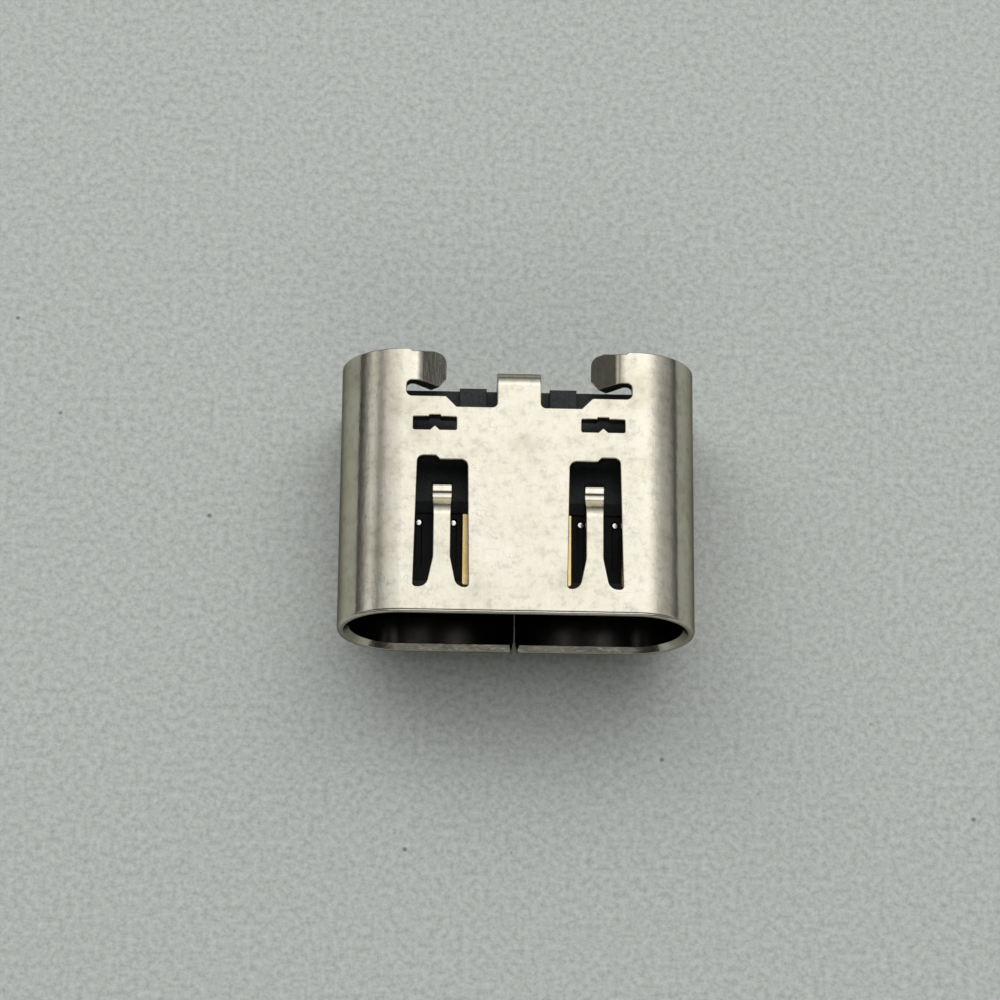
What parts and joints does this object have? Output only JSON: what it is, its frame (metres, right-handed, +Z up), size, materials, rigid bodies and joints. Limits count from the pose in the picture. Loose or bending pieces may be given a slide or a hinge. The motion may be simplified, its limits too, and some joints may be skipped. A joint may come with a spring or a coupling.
{
  "type": "usb-c socket",
  "caption": "USB-C board socket: folded steel shell with a round-ended mouth, black tongue with gold contacts, four shell legs and a row of solder tails.",
  "frame": {"origin": "centre of the shell's footprint on the board's upper face, under the flat bottom of the shell", "axes": "+X across the mouth, +Y back into the socket so that the mouth faces -Y, +Z up from the board"},
  "size_m": [0.009, 0.0072, 0.0039],
  "materials": {
    "shell_steel": "nickel plated stainless sheet, satin",
    "overmould": "black glass-filled plastic, moulded",
    "carrier_plastic": "black glass-filled plastic, moulded",
    "plate_steel": "bare stainless sheet",
    "contact_gold": "gold plated copper alloy"
  },
  "bodies": {
    "root": {"shell": "shell_steel", "housing": "overmould", "upper_carrier": "carrier_plastic", "lower_carrier": "carrier_plastic", "mid_plate": "plate_steel", "contact_a1": "contact_gold", "contact_a4": "contact_gold", "contact_a5": "contact_gold", "contact_a6": "contact_gold", "contact_a7": "contact_gold", "contact_a8": "contact_gold", "contact_a9": "contact_gold", "contact_a12": "contact_gold", "contact_b12": "contact_gold", "contact_b9": "contact_gold", "contact_b8": "contact_gold", "contact_b7": "contact_gold", "contact_b6": "contact_gold", "contact_b5": "contact_gold", "contact_b4": "contact_gold", "contact_b1": "contact_gold"}
  },
  "joints": []
}
